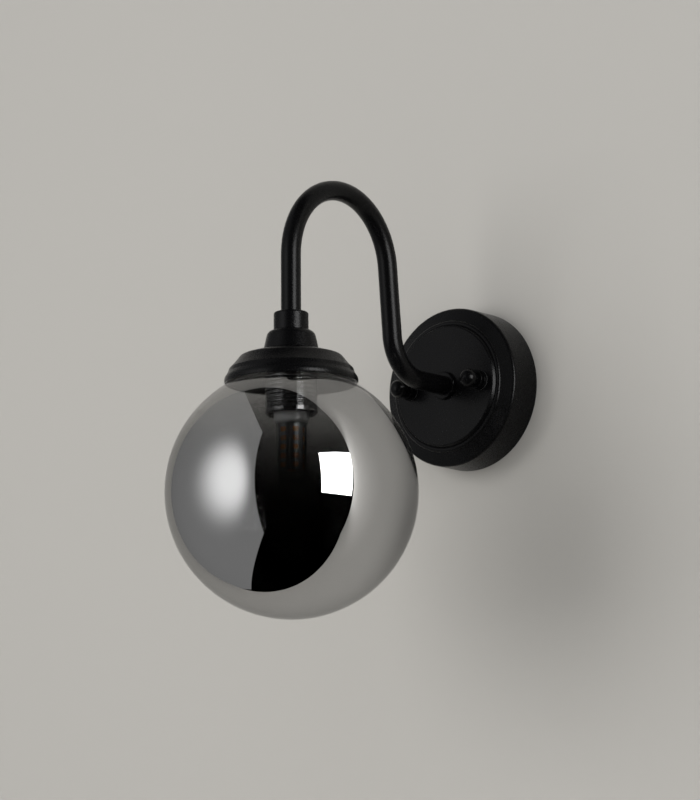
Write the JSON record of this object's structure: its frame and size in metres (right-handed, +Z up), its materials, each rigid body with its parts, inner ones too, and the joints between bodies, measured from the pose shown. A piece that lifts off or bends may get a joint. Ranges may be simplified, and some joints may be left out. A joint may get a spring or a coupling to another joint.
{
  "type": "globe wall sconce",
  "caption": "Wall sconce with a round stepped wall plate, a swan-neck tube arm and a smoked mirror glass globe screwed under a stepped gallery cap, with a plug-in lamp inside.",
  "frame": {"origin": "on the wall plane at the centre of the wall plate, midway between the two wall-fixing slots", "axes": "+Z up, -Y out of the wall into the room, +X to the right when the sconce is seen from the room"},
  "size_m": [0.15, 0.251, 0.2718],
  "materials": {
    "black_steel": "satin black powder coat",
    "black_tube": "satin black powder coat",
    "black_casting": "satin black powder coat, slightly textured",
    "black_turned": "satin black paint on turned metal",
    "zinc_steel": "bright zinc plate",
    "brass_terminal": "plain brass",
    "nickel_contact": "nickel plate",
    "nylon": "black nylon",
    "white_polyamide": "moulded white polyamide",
    "live_insulation": "brown insulation",
    "neutral_insulation": "blue insulation",
    "earth_insulation": "green and yellow insulation",
    "silicone": "translucent grey silicone",
    "carrier_aluminium": "turned",
    "smoked_glass": "smoked glass with a mirror-like metallic film",
    "steatite": "unglazed white steatite",
    "lamp_ceramic": "glazed white ceramic",
    "clear_cover": "clear",
    "lamp_board": "grey circuit board",
    "led_phosphor": "amber phosphor"
  },
  "bodies": {
    "wall_frame": {"mounting_bracket": "zinc_steel", "canopy_studs": "zinc_steel", "stud_lock_nuts": "zinc_steel", "terminal_block": "white_polyamide", "terminal_inserts": "brass_terminal", "terminal_screws": "zinc_steel", "earth_lug": "nickel_contact", "earth_screw": "zinc_steel", "earth_wire": "earth_insulation", "live_wire": "live_insulation", "neutral_wire": "neutral_insulation", "canopy": "black_steel", "swan_neck_arm": "black_tube", "arm_ferrule": "black_turned", "arm_nipple": "zinc_steel", "arm_lock_washer": "zinc_steel", "arm_lock_nut": "zinc_steel", "coupler_collar": "black_casting", "gallery_cap": "black_casting", "gallery_nipple": "zinc_steel", "gallery_nuts": "zinc_steel", "shade_carrier": "carrier_aluminium", "holder_bush": "brass_terminal", "lamp_holder": "steatite", "holder_contacts": "nickel_contact"},
    "seal": {"shade_seal": "silicone"},
    "globe": {"glass_globe": "smoked_glass"},
    "lamp": {"lamp_base": "lamp_ceramic", "lamp_pins": "nickel_contact", "lamp_cover": "clear_cover", "lamp_core": "lamp_board", "lamp_leds": "led_phosphor"},
    "washer_left": {"nut_washer_left": "nylon"},
    "nut_left": {"cap_nut_left": "black_turned"},
    "washer_right": {"nut_washer_right": "nylon"},
    "nut_right": {"cap_nut_right": "black_turned"}
  },
  "joints": [
    {"name": "globe_turn", "type": "hinge", "parent": "seal", "child": "globe", "pos_m": [0, -0.176, 0], "axis": [0, 0, -1], "range_deg": [0, 900]},
    {"name": "globe_drop", "type": "slide", "parent": "wall_frame", "child": "seal", "axis": [0, 0, -1], "range_m": [0, 0.00626]},
    {"name": "lamp_pull", "type": "slide", "parent": "wall_frame", "child": "lamp", "axis": [0, 0, -1], "range_m": [0, 0.014]},
    {"name": "nut_left_travel", "type": "slide", "parent": "wall_frame", "child": "washer_left", "axis": [0, -1, 0], "range_m": [0, 0.007]},
    {"name": "nut_left_turn", "type": "hinge", "parent": "washer_left", "child": "nut_left", "pos_m": [-0.0275, -0.03, 0], "axis": [0, -1, 0], "range_deg": [0, 3602]},
    {"name": "nut_right_travel", "type": "slide", "parent": "wall_frame", "child": "washer_right", "axis": [0, -1, 0], "range_m": [0, 0.007]},
    {"name": "nut_right_turn", "type": "hinge", "parent": "washer_right", "child": "nut_right", "pos_m": [0.0275, -0.03, 0], "axis": [0, -1, 0], "range_deg": [0, 3602]}
  ],
  "couplings": [
    {"joint": "globe_drop", "follows": "globe_turn", "m_per_rad": 0.00039789},
    {"joint": "nut_left_turn", "follows": "nut_left_travel", "rad_per_m": 8976},
    {"joint": "nut_right_turn", "follows": "nut_right_travel", "rad_per_m": 8976}
  ]
}
